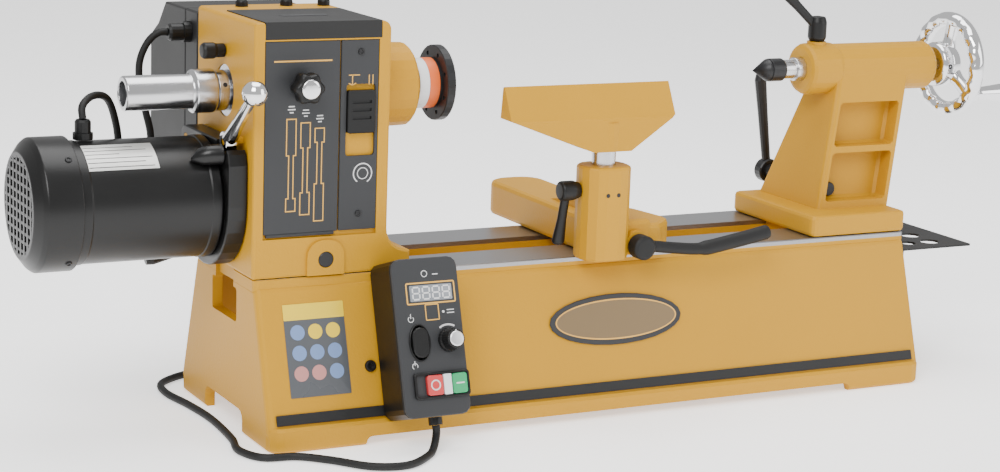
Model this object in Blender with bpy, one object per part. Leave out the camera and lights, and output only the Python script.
"""Bench-top wood lathe: cast bed, sliding headstock with belt drive and hung motor, banjo with tool
rest, tailstock with quill, and a remote control box held to the bed by magnets.

Machine frame, before the last step centres it: X runs along the bed towards the tailstock, Y to the
back, Z up. x = 0 is the middle of the bed, y = 0 the plane of the spindle axis, z = 0 the bench.
"""

import math

import bmesh
import bpy
from mathutils import Matrix, Vector

MM = 0.001
GAP = 0.3 * MM  # clearance between neighbouring pieces
THROUGH = 5 * MM  # how far a cutter runs past the wall it cuts

# Bed
BED_LENGTH = 788 * MM
WAY_HEIGHT = 165 * MM
WAY_HALF_WIDTH = 82.6 * MM
WAY_GAP_HALF = 25.6 * MM
WAY_THICKNESS = 19 * MM
FLANGE_HALF_WIDTH = 133.5 * MM
FLANGE_HEIGHT = 25 * MM
WALL_HEAD_HALF = 83.4 * MM  # half width over the walls, just under the ways
WALL_FOOT_HALF = 127 * MM  # and at the top of the flange
WALL_THICKNESS = 9 * MM
FOOT_LENGTH = 103 * MM
FOOT_RELIEF = 9 * MM

# Spindle line
SWING_RADIUS = 178 * MM  # spindle axis above the ways, half of a 14 inch swing
SPINDLE_Z = WAY_HEIGHT + SWING_RADIUS

# Headstock
HEAD_LEFT = -BED_LENGTH / 2 - 2 * MM
HEAD_WIDTH = 145 * MM
HEAD_RIGHT = HEAD_LEFT + HEAD_WIDTH
HEAD_FOOT_RIGHT = HEAD_RIGHT + 26 * MM
HEAD_FRONT = -WAY_HALF_WIDTH
HEAD_BACK = 80 * MM
HEAD_TOP = SPINDLE_Z + 76 * MM
HEAD_WALL = 11 * MM
HEAD_FLOOR = WAY_HEIGHT + 28 * MM  # floor of the belt bay
KEEL_DEPTH = 14 * MM  # how far a keel reaches down between the ways
BELL_RADIUS = 44 * MM
BELL_END = HEAD_RIGHT + 52 * MM

# Front panels
PANEL_BOTTOM = HEAD_FLOOR + 16 * MM
PANEL_TOP = SPINDLE_Z + 58 * MM
PANEL_DEPTH = 3 * MM
DOOR_WIDTH = 79 * MM
LOCK_PANEL_WIDTH = 40 * MM

# Drive
SPINDLE_RADIUS = 17.5 * MM
SPINDLE_BORE = 6.5 * MM
NOSE_RADIUS = 15.8 * MM
PULLEY_STEP = 15 * MM
SPINDLE_PULLEY_RADII = (46 * MM, 38 * MM, 31 * MM)
MOTOR_PULLEY_RADII = (25 * MM, 33 * MM, 39 * MM)
BELT_WIDTH = 12 * MM
BELT_THICKNESS = 4 * MM
MOTOR_Z = SPINDLE_Z - 106 * MM
MOTOR_RADIUS = 61.5 * MM
MOTOR_LENGTH = 142 * MM
FAN_COVER_RADIUS = 66.3 * MM
FAN_COVER_LENGTH = 47 * MM
MOTOR_SHAFT_RADIUS = 9.5 * MM
MOUNT_THICKNESS = 20 * MM

# Tool rest
POST_RADIUS = 12.7 * MM
REST_LENGTH = 196 * MM
REST_TOP = SPINDLE_Z + 3 * MM
BANJO_X = 28 * MM  # clamp bolt and cam shaft of the banjo
POST_X = -10.6 * MM
POST_Y = -95 * MM

# Tailstock
TAIL_LEFT = 268.6 * MM
TAIL_LENGTH = 127.4 * MM
TAIL_BASE = 24 * MM
BARREL_RADIUS = 29 * MM
BARREL_LENGTH = 175 * MM
QUILL_RADIUS = 13.3 * MM
QUILL_LENGTH = 145 * MM
WHEEL_RADIUS = 60.5 * MM

# Control box
BOX_WIDTH = 72 * MM
BOX_HEIGHT = 158 * MM
BOX_DEPTH = 53 * MM
MAGNET_DEPTH = 6 * MM
CORD_RADIUS = 4 * MM

# Derived
BED_END = BED_LENGTH / 2
WALL_RUN = 136 * MM  # height over which the wall leans out from head to foot
WALL_HEAD_Z = WAY_HEIGHT - 7 * MM
WALL_ANGLE = math.atan2(WALL_FOOT_HALF - WALL_HEAD_HALF, WALL_RUN)
WAY_UNDERSIDE = WAY_HEIGHT - WAY_THICKNESS
PLATE_TOP = WAY_UNDERSIDE - 2 * GAP
PLATE_BOTTOM = PLATE_TOP - 13 * MM
KEEL_HALF = WAY_GAP_HALF - 2 * GAP
SEAT = WAY_HEIGHT + GAP  # underside of everything that stands on the ways

PIVOTS = {}


# Small geometry helpers


def arc(centre, radius, start, end, steps):
    """Points on a circular arc in the plane, angles in degrees."""
    points = []
    for i in range(steps + 1):
        angle = math.radians(start + (end - start) * i / steps)
        points.append((centre[0] + radius * math.cos(angle), centre[1] + radius * math.sin(angle)))
    return points


def rounded(corners, steps=3):
    """A closed outline from corners (a, b, radius), each corner replaced by a tangent arc."""
    outline = []
    count = len(corners)
    for i, (a, b, radius) in enumerate(corners):
        here = Vector((a, b))
        if not radius:
            outline.append((a, b))
            continue
        before = (Vector(corners[i - 1][:2]) - here).normalized()
        after = (Vector(corners[(i + 1) % count][:2]) - here).normalized()
        half = before.angle(after) / 2
        centre = here + (before + after).normalized() * radius / math.sin(half)
        reach = radius / math.tan(half)
        first = here + before * reach - centre
        turn = first.angle_signed(here + after * reach - centre)
        for step in range(steps + 1):
            spin = Matrix.Rotation(-turn * step / steps, 2)
            outline.append(tuple(centre + spin @ first))
    return outline


def slab(a0, a1, b0, b1, radius=0.0):
    """A rectangle's outline, with rounded corners if a radius is given."""
    return rounded([(a0, b0, radius), (a1, b0, radius), (a1, b1, radius), (a0, b1, radius)])


def in_space(axis, a, b, along):
    """A point from its plane coordinates and its place along the axis."""
    return {"x": (along, a, b), "y": (a, along, b), "z": (a, b, along)}[axis]


def finish(name, bm):
    bmesh.ops.recalc_face_normals(bm, faces=bm.faces)
    mesh = bpy.data.meshes.new(name)
    bm.to_mesh(mesh)
    bm.free()
    obj = bpy.data.objects.new(name, mesh)
    bpy.context.scene.collection.objects.link(obj)
    return obj


def loft(name, rings):
    """A closed body through rings of points, with a flat cap on each end."""
    bm = bmesh.new()
    rows = [[bm.verts.new(point) for point in ring] for ring in rings]
    for low, high in zip(rows, rows[1:]):
        for i in range(len(low)):
            j = (i + 1) % len(low)
            bm.faces.new((low[i], low[j], high[j], high[i]))
    bm.faces.new(rows[0])
    bm.faces.new(rows[-1])
    return finish(name, bm)


def prism(name, axis, outline, start, end):
    """The outline pushed along the axis from start to end."""
    return loft(name, [[in_space(axis, a, b, s) for a, b in outline] for s in (start, end)])


def box(name, x, y, z):
    return prism(name, "z", slab(x[0], x[1], y[0], y[1]), z[0], z[1])


def turned(name, axis, centre, profile, segments=20, bored=False):
    """A turned body. The profile is (radius, place along the axis); a bored one closes on itself."""
    bm = bmesh.new()
    rows = []
    for radius, along in profile:
        if radius == 0:
            rows.append([bm.verts.new(in_space(axis, centre[0], centre[1], along))])
            continue
        ring = arc(centre, radius, 0, 360, segments)[:-1]
        rows.append([bm.verts.new(in_space(axis, a, b, along)) for a, b in ring])
    pairs = list(zip(rows, rows[1:]))
    if bored:
        pairs.append((rows[-1], rows[0]))
    for low, high in pairs:
        for i in range(segments):
            j = (i + 1) % segments
            face = [low[i % len(low)], low[j % len(low)], high[j % len(high)], high[i % len(high)]]
            face = [v for k, v in enumerate(face) if v not in face[:k]]
            bm.faces.new(face)
    obj = finish(name, bm)
    obj.data.shade_smooth()
    obj.data.set_sharp_from_angle(angle=math.radians(35))
    return obj


def rod(name, axis, centre, radius, start, end, segments=20, edge=0.0):
    """A round bar, with a small chamfer on both ends if an edge is given."""
    if not edge:
        return turned(name, axis, centre, [(0, start), (radius, start), (radius, end), (0, end)], segments)
    sign = 1 if end > start else -1
    profile = [(0, start), (radius - edge, start), (radius, start + sign * edge)]
    profile += [(radius, end - sign * edge), (radius - edge, end), (0, end)]
    return turned(name, axis, centre, profile, segments)


def tube(name, axis, centre, inner, outer, start, end, segments=20):
    profile = [(inner, start), (outer, start), (outer, end), (inner, end)]
    return turned(name, axis, centre, profile, segments, bored=True)


def bar(name, points, radii, segments=12):
    """A tapering round bar through points, with a ring of faces at each."""
    rings = []
    spots = [Vector(p) for p in points]
    for i, spot in enumerate(spots):
        ahead = (spots[min(i + 1, len(spots) - 1)] - spots[max(i - 1, 0)]).normalized()
        side = ahead.cross(Vector((0, 1, 0)))
        if side.length < 0.3:
            side = ahead.cross(Vector((1, 0, 0)))
        side.normalize()
        up = side.cross(ahead)
        ring = arc((0, 0), radii[i], 0, 360, segments)[:-1]
        rings.append([tuple(spot + side * a + up * b) for a, b in ring])
    obj = loft(name, rings)
    obj.data.shade_smooth()
    obj.data.set_sharp_from_angle(angle=math.radians(40))
    return obj


def bevelled(obj, width, segments=1, angle=40):
    modifier = obj.modifiers.new("edges", "BEVEL")
    modifier.width = width
    modifier.segments = segments
    modifier.limit_method = "ANGLE"
    modifier.angle_limit = math.radians(angle)
    return obj


def combine(obj, other, operation):
    other.parent = obj
    other.hide_render = True
    other.display_type = "WIRE"
    modifier = obj.modifiers.new(operation.lower() + " " + other.name, "BOOLEAN")
    modifier.operation = operation
    modifier.object = other
    modifier.solver = "EXACT"


def cut(obj, *others):
    for other in others:
        combine(obj, other, "DIFFERENCE")
    return obj


def closed_by_manifold(obj):
    """Sets the manifold solver, for a body whose many bores leave the exact one with open slivers."""
    for modifier in obj.modifiers:
        if modifier.type == "BOOLEAN":
            modifier.solver = "MANIFOLD"
    return obj


def join(obj, *others):
    for other in others:
        combine(obj, other, "UNION")
    return obj


def keep(obj, *others):
    for other in others:
        combine(obj, other, "INTERSECT")
    return obj


def smooth_path(points, spacing):
    """Points at an even spacing on a smooth curve through the given ones."""
    spots = [Vector(p) for p in points]
    ends = [spots[0] * 2 - spots[1]] + spots + [spots[-1] * 2 - spots[-2]]
    fine = []
    for i in range(1, len(ends) - 2):
        p0, p1, p2, p3 = ends[i - 1 : i + 3]
        t1 = (p1 - p0).length ** 0.5
        t2 = t1 + (p2 - p1).length ** 0.5
        t3 = t2 + (p3 - p2).length ** 0.5
        for k in range(40):
            t = t1 + (t2 - t1) * k / 40
            a1 = p0 * (t1 - t) / t1 + p1 * t / t1
            a2 = p1 * (t2 - t) / (t2 - t1) + p2 * (t - t1) / (t2 - t1)
            a3 = p2 * (t3 - t) / (t3 - t2) + p3 * (t - t2) / (t3 - t2)
            b1 = a1 * (t2 - t) / t2 + a2 * t / t2
            b2 = a2 * (t3 - t) / (t3 - t1) + a3 * (t - t1) / (t3 - t1)
            fine.append(b1 * (t2 - t) / (t2 - t1) + b2 * (t - t1) / (t2 - t1))
    fine.append(spots[-1])
    lengths = [0.0]
    for a, b in zip(fine, fine[1:]):
        lengths.append(lengths[-1] + (b - a).length)
    count = max(2, round(lengths[-1] / spacing))
    path = []
    place = 0
    for i in range(count + 1):
        goal = lengths[-1] * i / count
        while place < len(fine) - 2 and lengths[place + 1] < goal:
            place += 1
        share = (goal - lengths[place]) / max(lengths[place + 1] - lengths[place], 1e-9)
        path.append(fine[place].lerp(fine[place + 1], min(max(share, 0.0), 1.0)))
    return path


def cord(name, points, radius):
    """A round lead laid along a smooth path, closed at both ends."""
    path = smooth_path(points, radius * 5)
    curve = bpy.data.curves.new(name, "CURVE")
    curve.dimensions = "3D"
    curve.bevel_depth = radius
    curve.bevel_resolution = 2
    curve.use_fill_caps = True
    spline = curve.splines.new("POLY")
    spline.points.add(len(path) - 1)
    for point, spot in zip(spline.points, path):
        point.co = (spot.x, spot.y, max(spot.z, radius + GAP), 1)
    obj = bpy.data.objects.new(name, curve)
    bpy.context.scene.collection.objects.link(obj)
    return obj


# Frames and materials


def joint(name, at, parent):
    """An empty on a joint's axis. Everything that moves with the joint hangs from it."""
    empty = bpy.data.objects.new(name, None)
    empty.empty_display_size = 20 * MM
    bpy.context.scene.collection.objects.link(empty)
    empty.parent = parent
    PIVOTS[name] = Vector(at)
    empty.location = PIVOTS[name] - PIVOTS[parent.name]
    return empty


def attach(parent, *objects):
    for obj in objects:
        obj.parent = parent
        obj.location = -PIVOTS[parent.name]


FINISHES = {
    "cast paint": ((0.60, 0.36, 0.10), 0.0, 0.40),
    "dark sheet": ((0.030, 0.030, 0.032), 0.0, 0.50),
    "panel print": ((0.045, 0.045, 0.048), 0.0, 0.45),
    "gloss black": ((0.012, 0.012, 0.013), 0.0, 0.30),
    "black plastic": ((0.016, 0.016, 0.017), 0.0, 0.55),
    "black oxide": ((0.020, 0.020, 0.021), 0.6, 0.45),
    "red plastic": ((0.55, 0.05, 0.05), 0.0, 0.35),
    "green plastic": ((0.02, 0.35, 0.12), 0.0, 0.35),
    "rubber": ((0.018, 0.018, 0.018), 0.0, 0.70),
    "steel": ((0.56, 0.56, 0.57), 1.0, 0.30),
    "chrome": ((0.75, 0.75, 0.76), 1.0, 0.10),
    "aluminium": ((0.70, 0.70, 0.71), 1.0, 0.35),
}


def painted(finish_name, *objects):
    """Gives each object a Principled material of its own in one of the finishes."""
    colour, metallic, roughness = FINISHES[finish_name]
    for obj in objects:
        made = bpy.data.materials.new(f"{obj.name} {finish_name}")
        made.use_nodes = True
        shader = made.node_tree.nodes["Principled BSDF"]
        shader.inputs["Base Color"].default_value = (*colour, 1)
        shader.inputs["Metallic"].default_value = metallic
        shader.inputs["Roughness"].default_value = roughness
        made.diffuse_color = (*colour, 1)
        obj.data.materials.append(made)


WEARS = {
    "cast paint": ("bed_casting", "headstock_casting", "tailstock_casting", "banjo_casting", "tool_rest"),
    "dark sheet": ("top_cover", "electronics_box", "electronics_cover", "tool_shelf", "trim_strip"),
    "panel print": ("belt_door", "lock_panel", "control_face", "oval_badge"),
    "gloss black": ("motor_mount", "motor_body", "motor_fan_cover"),
    "black plastic": ("control_box", "direction_switch", "speed_knob", "box_gland", "motor_gland",
                      "motor_lead_gland", "control_cord_gland", "mains_inlet", "door_knob", "index_plunger",
                      "spindle_lock_slider", "cooling_fan"),
    "black oxide": ("faceplate", "live_centre_point", "headstock_clamp_lever", "tailstock_clamp_lever",
                    "banjo_cam_lever", "post_lock_lever", "quill_lock_lever"),
    "red plastic": ("stop_button",),
    "green plastic": ("start_button",),
    "rubber": ("control_cord", "motor_lead", "drive_belt"),
    "steel": ("spindle", "outboard_sleeve", "bearing_nut", "front_bearing", "rear_bearing", "motor_shaft",
              "headstock_clamp_plate", "tailstock_clamp_plate", "banjo_clamp_plate", "banjo_cam_block",
              "tool_rest_post", "quill", "quill_screw", "live_centre_body"),
    "chrome": ("tension_lever", "handwheel", "wheel_handle"),
    "aluminium": ("spindle_pulley", "motor_pulley"),
}


def wall_y(z):
    """Outer face of the bed's slanting front wall, as a half width at a height."""
    return WALL_HEAD_HALF + (WALL_HEAD_Z - z) * math.tan(WALL_ANGLE)


# Bed


def bed_casting():
    """The cast bed: two ways with a gap, walls that lean outwards, and feet on a flange."""
    inner = WALL_THICKNESS / math.cos(WALL_ANGLE)
    foot = prism("bed_casting", "z", slab(-BED_END, BED_END, -FLANGE_HALF_WIDTH, FLANGE_HALF_WIDTH, 14 * MM),
                 0, FLANGE_HEIGHT)
    bevelled(foot, 3 * MM)
    low, high = 12 * MM, WALL_HEAD_Z
    wall_outline = [(-wall_y(low), low), (wall_y(low), low), (wall_y(high), high), (-wall_y(high), high)]
    walls = bevelled(prism("bed walls", "x", wall_outline, -BED_END, BED_END), 6 * MM, 3, 60)
    ways = prism("bed ways", "z", slab(-BED_END, BED_END, -WAY_HALF_WIDTH, WAY_HALF_WIDTH, 5 * MM),
                 high - 6 * MM, WAY_HEIGHT)
    bevelled(ways, 1 * MM)
    join(foot, walls, ways)
    deep = -THROUGH
    bay_outline = [(-wall_y(deep) + inner, deep), (wall_y(deep) - inner, deep),
                   (wall_y(WAY_UNDERSIDE) - inner, WAY_UNDERSIDE), (-wall_y(WAY_UNDERSIDE) + inner, WAY_UNDERSIDE)]
    rib_top = 92 * MM
    end_wall = 11 * MM
    bays = [(-BED_END + end_wall, -136 * MM), (-128 * MM, 128 * MM), (136 * MM, BED_END - end_wall)]
    for i, (start, end) in enumerate(bays):
        cut(foot, prism(f"bed bay {i}", "x", bay_outline, start, end))
    inner += 1 * MM
    over = [(-wall_y(rib_top) + inner, rib_top), (wall_y(rib_top) - inner, rib_top),
            (wall_y(WAY_UNDERSIDE) - inner, WAY_UNDERSIDE), (-wall_y(WAY_UNDERSIDE) + inner, WAY_UNDERSIDE)]
    cut(foot, prism("bed bay over ribs", "x", over, -150 * MM, 150 * MM))
    reach = BED_END + THROUGH
    cut(foot, box("bed way gap", (-reach, reach), (-WAY_GAP_HALF, WAY_GAP_HALF),
                  (WAY_UNDERSIDE - 4 * MM, WAY_HEIGHT + THROUGH)))
    cut(foot, prism("bed end window", "x", slab(-35 * MM, 35 * MM, 112 * MM, 147 * MM, 4 * MM),
                    -reach, -BED_END + end_wall + THROUGH))
    cut(foot, prism("bed end arches", "x", slab(-54 * MM, 54 * MM, -12 * MM, 24 * MM, 10 * MM), -reach, reach))
    side = FLANGE_HALF_WIDTH + THROUGH
    relief = slab(-BED_END + FOOT_LENGTH, BED_END - FOOT_LENGTH + 4 * MM, -FOOT_RELIEF, FOOT_RELIEF, 6 * MM)
    cut(foot, prism("bed relief", "y", relief, -side, side))
    return foot


def on_wall(x, z):
    """A point on the bed's front wall."""
    return Vector((x, -wall_y(z), z))


def trim_strip():
    """A dark strip along the foot of the front wall, in the wall's own frame."""
    return bevelled(box("trim_strip", (-385 * MM, 384 * MM), (-5.3 * MM, 5.3 * MM), (GAP, 2 * MM)), 0.4 * MM)


def oval_badge():
    half_width, half_height = 80 * MM, 27 * MM
    outline = [(half_width * a, half_height * b) for a, b in arc((0, 0), 1, 0, 360, 26)[:-1]]
    return bevelled(prism("oval_badge", "z", outline, GAP, 2.6 * MM), 0.8 * MM)


def tool_shelf():
    """A folded sheet on the tailstock end of the bed, with holes for tools."""
    thickness = 2.5 * MM
    top = 143 * MM + thickness / 2
    start = BED_END + GAP
    profile = [(start, top), (start, top - 26 * MM), (start + thickness, top - 26 * MM),
               (start + thickness, top - thickness), (start + 97 * MM, top - thickness), (start + 97 * MM, top)]
    shelf = prism("tool_shelf", "y", profile, -82 * MM, 82 * MM)
    for i, (x, y, radius) in enumerate([(422, -56, 9), (422, -28, 9), (422, 0, 9), (452, -56, 12),
                                        (452, -20, 12), (452, 56, 12), (422, 56, 6), (422, 34, 6)]):
        cut(shelf, rod(f"tool hole {i}", "z", (x * MM, y * MM), radius * MM, top - THROUGH, top + THROUGH, 12))
    cut(shelf, prism("tool slot", "z", slab(440 * MM, 466 * MM, 8 * MM, 34 * MM, 6 * MM),
                     top - THROUGH, top + THROUGH))
    return shelf


# Control box, in its own frame: x to the right, y up the wall's slope, z out of the wall

BOX_FACE = MAGNET_DEPTH + BOX_DEPTH
BOX_LOW = -80 * MM
FACE_THICKNESS = 3 * MM
KNOB_AT = (19 * MM, -5.4 * MM)
ROCKER_AT = (-13 * MM, -6 * MM)
BUTTON_LOW, BUTTON_HIGH = -59 * MM, -39 * MM
STOP_SPAN = (-10.5 * MM, 6.5 * MM)
START_SPAN = (17 * MM, 33 * MM)
BOX_GLAND_AT = (3 * MM, 42 * MM)


def control_box():
    """The box's shell, open in front, with the two magnets that hold it to the bed."""
    half = BOX_WIDTH / 2
    high = BOX_LOW + BOX_HEIGHT
    wall = 3 * MM
    shell = bevelled(prism("control_box", "z", slab(-half, half, BOX_LOW, high, 10 * MM), MAGNET_DEPTH,
                           BOX_FACE - FACE_THICKNESS - GAP), 1.5 * MM)
    for i, y in enumerate((-46 * MM, 44 * MM)):
        join(shell, rod(f"box magnet {i}", "z", (0, y), 15 * MM, GAP, MAGNET_DEPTH + 1 * MM, edge=1 * MM))
    inside = slab(-half + wall, half - wall, BOX_LOW + wall, high - wall, 7 * MM)
    cut(shell, prism("box inside", "z", inside, MAGNET_DEPTH + wall, BOX_FACE + THROUGH))
    return shell


def control_face():
    """The box's front, with openings for the switches and the knob."""
    half = BOX_WIDTH / 2
    start = BOX_FACE - FACE_THICKNESS
    face = prism("control_face", "z", slab(-half, half, BOX_LOW, BOX_LOW + BOX_HEIGHT, 10 * MM), start, BOX_FACE)
    bevelled(face, 1 * MM)
    rim = GAP * 2
    for i, (a, b) in enumerate((STOP_SPAN, START_SPAN)):
        hole = slab(a - rim, b + rim, BUTTON_LOW - rim, BUTTON_HIGH + rim, 3 * MM)
        cut(face, prism(f"button hole {i}", "z", hole, start - THROUGH, BOX_FACE + THROUGH))
    x, y = ROCKER_AT
    hole = slab(x - 10 * MM, x + 10 * MM, y - 17 * MM, y + 17 * MM, 9.5 * MM)
    cut(face, prism("rocker hole", "z", hole, start - THROUGH, BOX_FACE + THROUGH))
    cut(face, rod("knob hole", "z", KNOB_AT, 4 * MM, start - THROUGH, BOX_FACE + THROUGH, 16))
    return face


def direction_switch():
    """A rocker that pivots behind the face."""
    x, y = ROCKER_AT
    back, face = BOX_FACE - 9 * MM, BOX_FACE
    outline = slab(x - 8.8 * MM, x + 8.8 * MM, y - 15.2 * MM, y + 15.2 * MM, 8.5 * MM)
    rocker = prism("direction_switch", "z", outline, back, face + 5 * MM)
    return bevelled(rocker, 1.2 * MM)


def speed_knob():
    base = BOX_FACE + GAP
    profile = [(0, base - 8 * MM), (3.6 * MM, base - 8 * MM), (3.6 * MM, base), (12 * MM, base),
               (12 * MM, base + 4 * MM), (10.2 * MM, base + 6 * MM), (9.2 * MM, base + 18 * MM),
               (8 * MM, base + 19.5 * MM), (0, base + 19.5 * MM)]
    return turned("speed_knob", "z", KNOB_AT, profile, 24)


def push_button(name, span):
    outline = slab(span[0], span[1], BUTTON_LOW, BUTTON_HIGH, 2.4 * MM)
    return bevelled(prism(name, "z", outline, BOX_FACE - 8 * MM, BOX_FACE + 4 * MM), 0.8 * MM)


def box_gland():
    start = BOX_LOW - GAP
    return tube("box_gland", "y", BOX_GLAND_AT, CORD_RADIUS + GAP, 7 * MM, start - 8 * MM, start, 16)


# Headstock

CLAMP_X = HEAD_LEFT + 77 * MM
CLAMP_Z = WAY_HEIGHT + 17 * MM
CAM_RADIUS = 8 * MM
BOLT_RADIUS = 6 * MM
EYE_HALF = 12 * MM
EYE_DEPTH = 9 * MM
PLATE_HALF_Y = 62 * MM
BELT_XS = [HEAD_LEFT + (38.5 + 15 * i) * MM for i in range(3)]
DOOR_LEFT = HEAD_LEFT + 11 * MM
DOOR_RIGHT = DOOR_LEFT + DOOR_WIDTH
PANEL_RIGHT = DOOR_RIGHT + LOCK_PANEL_WIDTH + 1.5 * MM
DOOR_KNOB_AT = (DOOR_LEFT + 38 * MM, SPINDLE_Z + 14 * MM)
DOOR_HINGE = (HEAD_FRONT + 1.3 * MM, PANEL_BOTTOM - 0.5 * MM)
SLIDER_LEFT = HEAD_RIGHT - 47.5 * MM
SLIDER_WIDTH = 30 * MM
SLIDER_TRAVEL = 20 * MM
SLIDER_TOP = SPINDLE_Z + 8 * MM
SLIDER_HEIGHT = 43 * MM
PLUNGER_Z = SPINDLE_Z + 40 * MM
MOUNT_PIVOT = (54 * MM, MOTOR_Z + 48 * MM)
TENSION_AT = (-50 * MM, MOTOR_Z + 63 * MM)
TENSION_PIN = 4 * MM
COVER_LEFT, COVER_RIGHT = HEAD_LEFT + 11 * MM, HEAD_RIGHT - 11 * MM
COVER_BACK = 25 * MM
COVER_THICKNESS = 3 * MM
COVER_LIP = 16 * MM


def clamp_pocket(name, x, top):
    """The room in a casting for a clamp bolt's eye, open underneath."""
    side = GAP * 3
    return box(name, (x - EYE_HALF - side, x + EYE_HALF + side), (-EYE_DEPTH - side, EYE_DEPTH + side),
               (SEAT - KEEL_DEPTH - THROUGH, top))


def headstock_casting():
    """The headstock housing: a belt bay behind the door, two bearing seats and a keel between the ways."""
    left, right, foot, top = HEAD_LEFT, HEAD_RIGHT, HEAD_FOOT_RIGHT, HEAD_TOP
    outline = rounded([(left, SEAT, 0), (foot, SEAT, 0), (foot, SEAT + 20 * MM, 3 * MM),
                       (right, SEAT + 26 * MM, 22 * MM), (right, top, 9 * MM), (left, top, 4 * MM)], 5)
    body = bevelled(prism("headstock_casting", "y", outline, HEAD_FRONT, HEAD_BACK), 5 * MM, 2, 50)
    keel = box("headstock keel", (left + 6 * MM, foot - 6 * MM), (-KEEL_HALF, KEEL_HALF),
               (SEAT - KEEL_DEPTH, SEAT + 4 * MM))
    axis = (0, SPINDLE_Z)
    bell = turned("headstock bell", "x", axis, [(0, right - 8 * MM), (BELL_RADIUS + 4 * MM, right - 8 * MM),
                  (BELL_RADIUS + 2 * MM, right + 4 * MM), (BELL_RADIUS, right + 10 * MM),
                  (BELL_RADIUS - 1 * MM, BELL_END - 3 * MM), (BELL_RADIUS - 4 * MM, BELL_END), (0, BELL_END)], 26)
    arch = rounded([(CLAMP_X - 20 * MM, SEAT + 1 * MM, 0), (CLAMP_X + 20 * MM, SEAT + 1 * MM, 0),
                    (CLAMP_X + 20 * MM, CLAMP_Z + 20 * MM, 17 * MM),
                    (CLAMP_X - 20 * MM, CLAMP_Z + 20 * MM, 17 * MM)], 6)
    boss = prism("headstock clamp boss", "y", arch, HEAD_FRONT - 3 * MM, HEAD_FRONT + 6 * MM)
    hanger = rod("motor pivot pin", "x", MOUNT_PIVOT, 7 * MM, left - MOUNT_THICKNESS - 1 * MM, left + 5 * MM, 16)
    lever_pin = rod("tension pivot pin", "x", TENSION_AT, TENSION_PIN, left - 19 * MM, left + 5 * MM, 12)
    join(body, keel, bell, boss, hanger, lever_pin)
    wall = HEAD_WALL
    bay = prism("belt bay", "x", slab(HEAD_FRONT + wall, HEAD_BACK - wall, HEAD_FLOOR, top - wall, 8 * MM),
                left + wall, right - wall)
    recess = box("panel recess", (DOOR_LEFT - 2 * GAP, PANEL_RIGHT + GAP),
                 (HEAD_FRONT - THROUGH, HEAD_FRONT + PANEL_DEPTH + GAP),
                 (PANEL_BOTTOM - 4 * MM, PANEL_TOP + GAP))
    doorway = prism("doorway", "y", slab(DOOR_LEFT + 4 * MM, DOOR_RIGHT - 4 * MM, PANEL_BOTTOM + 4 * MM,
                    PANEL_TOP - 4 * MM, 3 * MM), HEAD_FRONT - THROUGH, HEAD_FRONT + wall + THROUGH)
    cover_seat = box("cover seat", (COVER_LEFT - GAP, COVER_RIGHT + GAP), (HEAD_FRONT - THROUGH, COVER_BACK + GAP),
                     (top - COVER_THICKNESS - GAP, top + THROUGH))
    lip_seat = box("cover lip seat", (COVER_LEFT - GAP, COVER_RIGHT + GAP),
                   (HEAD_FRONT - THROUGH, HEAD_FRONT + COVER_THICKNESS + GAP),
                   (top - COVER_LIP - GAP, top - COVER_THICKNESS + 1 * MM))
    hatch = prism("top hatch", "z", slab(COVER_LEFT + 12 * MM, COVER_RIGHT - 12 * MM, HEAD_FRONT + 22 * MM,
                  COVER_BACK - 10 * MM, 5 * MM), top - wall - THROUGH, top + THROUGH)
    bore = BEARING_RADIUS + GAP
    left_seat = rod("rear bearing seat", "x", axis, bore, left - THROUGH, left + wall + THROUGH, 26)
    right_seat = rod("front bearing seat", "x", axis, bore, right - wall - THROUGH, BELL_END + THROUGH, 26)
    shaft_hole = rod("motor shaft hole", "x", (0, MOTOR_Z), 19 * MM, left - THROUGH, left + wall + THROUGH, 20)
    plunger_hole = rod("plunger hole", "x", (0, PLUNGER_Z), 4.3 * MM, left - THROUGH, left + wall + THROUGH, 12)
    cam_bore = rod("headstock cam bore", "y", (CLAMP_X, CLAMP_Z), CAM_RADIUS + GAP,
                   HEAD_FRONT - 3 * MM - THROUGH, HEAD_BACK + THROUGH, 20)
    pocket = clamp_pocket("headstock clamp pocket", CLAMP_X, HEAD_FLOOR + 1 * MM)
    cut(body, bay, recess, doorway, cover_seat, lip_seat, hatch, left_seat, right_seat, shaft_hole,
        plunger_hole, cam_bore, pocket)
    return closed_by_manifold(body)


def top_cover():
    top = HEAD_TOP
    cover = box("top_cover", (COVER_LEFT, COVER_RIGHT), (HEAD_FRONT, COVER_BACK),
                (top - COVER_THICKNESS, top + 1 * MM))
    lip = box("top cover lip", (COVER_LEFT, COVER_RIGHT), (HEAD_FRONT, HEAD_FRONT + COVER_THICKNESS),
              (top - COVER_LIP, top - COVER_THICKNESS + 1 * MM))
    return join(cover, lip)


def belt_door():
    """The door over the belt, hinged along its bottom edge."""
    y, z = DOOR_HINGE
    door = box("belt_door", (DOOR_LEFT, DOOR_RIGHT - GAP), (HEAD_FRONT, HEAD_FRONT + PANEL_DEPTH),
               (PANEL_BOTTOM + 1 * MM, PANEL_TOP))
    bevelled(door, 0.6 * MM)
    barrel = rod("door hinge barrel", "x", (y, z), 1.8 * MM, DOOR_LEFT + 3 * MM, DOOR_RIGHT - 4 * MM, 12)
    web = box("door hinge web", (DOOR_LEFT + 6 * MM, DOOR_RIGHT - 7 * MM), (y - 0.8 * MM, y + 0.8 * MM),
              (z, PANEL_BOTTOM + 3 * MM))
    join(door, barrel, web)
    cut(door, rod("door knob hole", "y", DOOR_KNOB_AT, 4.4 * MM, HEAD_FRONT - THROUGH,
                  HEAD_FRONT + PANEL_DEPTH + THROUGH, 16))
    return door


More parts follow.
